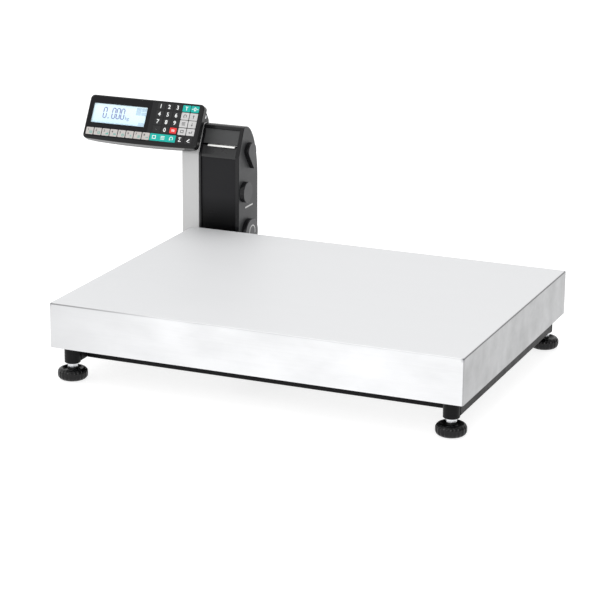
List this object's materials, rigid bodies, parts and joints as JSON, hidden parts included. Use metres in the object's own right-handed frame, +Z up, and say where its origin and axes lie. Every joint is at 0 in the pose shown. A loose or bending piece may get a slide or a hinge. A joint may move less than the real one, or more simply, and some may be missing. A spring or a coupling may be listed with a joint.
{
  "type": "platform shipping scale",
  "caption": "Free-standing platform scale: stainless tray on a load cell, screw feet, and a rear column with a tilting display and keypad and a side-loading label printer.",
  "frame": {"origin": "middle of the whole scale's outline, on the floor that its feet stand on", "axes": "+X to the operator's right along the tray's long side, +Y away from the operator towards the column, +Z up"},
  "size_m": [1.042, 0.7132, 0.4007],
  "materials": {
    "tray_steel": "fine brushed stainless sheet",
    "frame_paint": "satin black powder coat",
    "column_paint": "fine light grey powder coat",
    "black_plastic": "satin moulded black",
    "dark_plastic": "fine textured dark grey moulding",
    "gloss_black": "polished black",
    "keypad_film": "printed film with embossed keys",
    "rubber": "moulded",
    "label_paper": "coated label paper",
    "display_pane": "clear acrylic pane",
    "display_panel": "backlit liquid crystal panel",
    "circuit_board": "solder resist",
    "bare_aluminium": "machined",
    "zinc_plate": "bright zinc plated"
  },
  "bodies": {
    "base": {"carrier_arm_front": "frame_paint", "carrier_arm_rear": "frame_paint", "carrier_beam": "frame_paint", "cell_bolt_fixed_1": "zinc_plate", "cell_bolt_fixed_2": "zinc_plate", "cell_bolt_free_1": "zinc_plate", "cell_bolt_free_2": "zinc_plate", "centre_beam": "frame_paint", "column_arm_left": "frame_paint", "column_arm_right": "frame_paint", "column_base_plate": "frame_paint", "column_post": "column_paint", "cross_rail_front": "frame_paint", "cross_rail_rear": "frame_paint", "feed_motor": "zinc_plate", "foot_locknut_front_left": "zinc_plate", "foot_locknut_front_right": "zinc_plate", "foot_locknut_rear_left": "zinc_plate", "foot_locknut_rear_right": "zinc_plate", "hinge_pin": "zinc_plate", "load_cell": "bare_aluminium", "neck_block": "black_plastic", "power_inlet": "black_plastic", "printer_front_panel": "gloss_black", "printer_hatch": "dark_plastic", "printer_housing": "black_plastic", "printer_lip": "black_plastic", "side_rail_left": "frame_paint", "side_rail_right": "frame_paint", "thermal_print_head": "bare_aluminium", "tray_pad_front_left": "rubber", "tray_pad_front_right": "rubber", "tray_pad_rear_left": "rubber", "tray_pad_rear_right": "rubber"},
    "tray": {"weighing_tray": "tray_steel"},
    "head": {"head_bezel": "black_plastic", "keypad_film": "keypad_film", "display_window": "display_pane", "display_module": "display_panel", "circuit_board": "circuit_board", "head_rear_shell": "dark_plastic", "neck_yoke": "black_plastic"},
    "drive": {"drive_shaft": "zinc_plate"},
    "cassette": {"cassette_cover": "dark_plastic", "cassette_plate": "zinc_plate", "label_strip": "label_paper"},
    "roll": {"roll_hub_knob": "dark_plastic", "label_roll": "label_paper"},
    "rewinder": {"liner_rewind_knob": "dark_plastic"},
    "lever": {"head_lift_lever": "dark_plastic"},
    "platen": {"platen_roller": "rubber"},
    "switch": {"power_switch": "black_plastic"},
    "stud_front_left": {"foot_stud_front_left": "zinc_plate"},
    "knob_front_left": {"foot_knob_front_left": "black_plastic"},
    "stud_front_right": {"foot_stud_front_right": "zinc_plate"},
    "knob_front_right": {"foot_knob_front_right": "black_plastic"},
    "stud_rear_left": {"foot_stud_rear_left": "zinc_plate"},
    "knob_rear_left": {"foot_knob_rear_left": "black_plastic"},
    "stud_rear_right": {"foot_stud_rear_right": "zinc_plate"},
    "knob_rear_right": {"foot_knob_rear_right": "black_plastic"}
  },
  "joints": [
    {"name": "tray_lift", "type": "slide", "parent": "base", "child": "tray", "axis": [0, 0, 1], "range_m": [0, 0.12]},
    {"name": "foot_height_front_left", "type": "slide", "parent": "base", "child": "stud_front_left", "axis": [0, 0, -1], "range_m": [0, 0.014]},
    {"name": "foot_turn_front_left", "type": "hinge", "parent": "stud_front_left", "child": "knob_front_left", "pos_m": [-0.249, -0.32655, 0], "axis": [0, 0, -1], "range_deg": [0, 2880]},
    {"name": "foot_height_front_right", "type": "slide", "parent": "base", "child": "stud_front_right", "axis": [0, 0, -1], "range_m": [0, 0.014]},
    {"name": "foot_turn_front_right", "type": "hinge", "parent": "stud_front_right", "child": "knob_front_right", "pos_m": [0.491, -0.32655, 0], "axis": [0, 0, -1], "range_deg": [0, 2880]},
    {"name": "foot_height_rear_left", "type": "slide", "parent": "base", "child": "stud_rear_left", "axis": [0, 0, -1], "range_m": [0, 0.014]},
    {"name": "foot_turn_rear_left", "type": "hinge", "parent": "stud_rear_left", "child": "knob_rear_left", "pos_m": [-0.249, 0.21345, 0], "axis": [0, 0, -1], "range_deg": [0, 2880]},
    {"name": "foot_height_rear_right", "type": "slide", "parent": "base", "child": "stud_rear_right", "axis": [0, 0, -1], "range_m": [0, 0.014]},
    {"name": "foot_turn_rear_right", "type": "hinge", "parent": "stud_rear_right", "child": "knob_rear_right", "pos_m": [0.491, 0.21345, 0], "axis": [0, 0, -1], "range_deg": [0, 2880]},
    {"name": "head_tilt", "type": "hinge", "parent": "base", "child": "head", "pos_m": [-0.39075, 0.29905, 0.369], "axis": [1, 0, 0], "range_deg": [-20, 3]},
    {"name": "cassette_slide", "type": "slide", "parent": "base", "child": "cassette", "axis": [1, 0, 0], "range_m": [0, 0.1]},
    {"name": "head_lift_turn", "type": "hinge", "parent": "cassette", "child": "lever", "pos_m": [-0.1797, 0.30545, 0.304], "axis": [1, 0, 0], "range_deg": [-75, 0]},
    {"name": "label_roll_turn", "type": "hinge", "parent": "cassette", "child": "roll", "pos_m": [-0.1923, 0.30195, 0.132], "axis": [1, 0, 0], "continuous": true},
    {"name": "liner_rewind_turn", "type": "hinge", "parent": "cassette", "child": "rewinder", "pos_m": [-0.1923, 0.28305, 0.224], "axis": [1, 0, 0], "continuous": true},
    {"name": "platen_turn", "type": "hinge", "parent": "cassette", "child": "platen", "pos_m": [-0.1923, 0.28362, 0.31093], "axis": [1, 0, 0], "continuous": true},
    {"name": "drive_turn", "type": "hinge", "parent": "base", "child": "drive", "pos_m": [-0.2722, 0.28362, 0.31093], "axis": [1, 0, 0], "continuous": true},
    {"name": "switch_rock", "type": "hinge", "parent": "base", "child": "switch", "pos_m": [-0.2085, 0.34695, 0.0798], "axis": [1, 0, 0], "range_deg": [0, 16]}
  ],
  "couplings": [
    {"joint": "foot_height_front_left", "follows": "foot_turn_front_left", "m_per_rad": 0.00027852},
    {"joint": "foot_height_front_right", "follows": "foot_turn_front_right", "m_per_rad": 0.00027852},
    {"joint": "foot_height_rear_left", "follows": "foot_turn_rear_left", "m_per_rad": 0.00027852},
    {"joint": "foot_height_rear_right", "follows": "foot_turn_rear_right", "m_per_rad": 0.00027852},
    {"joint": "drive_turn", "follows": "platen_turn", "ratio": 1}
  ]
}
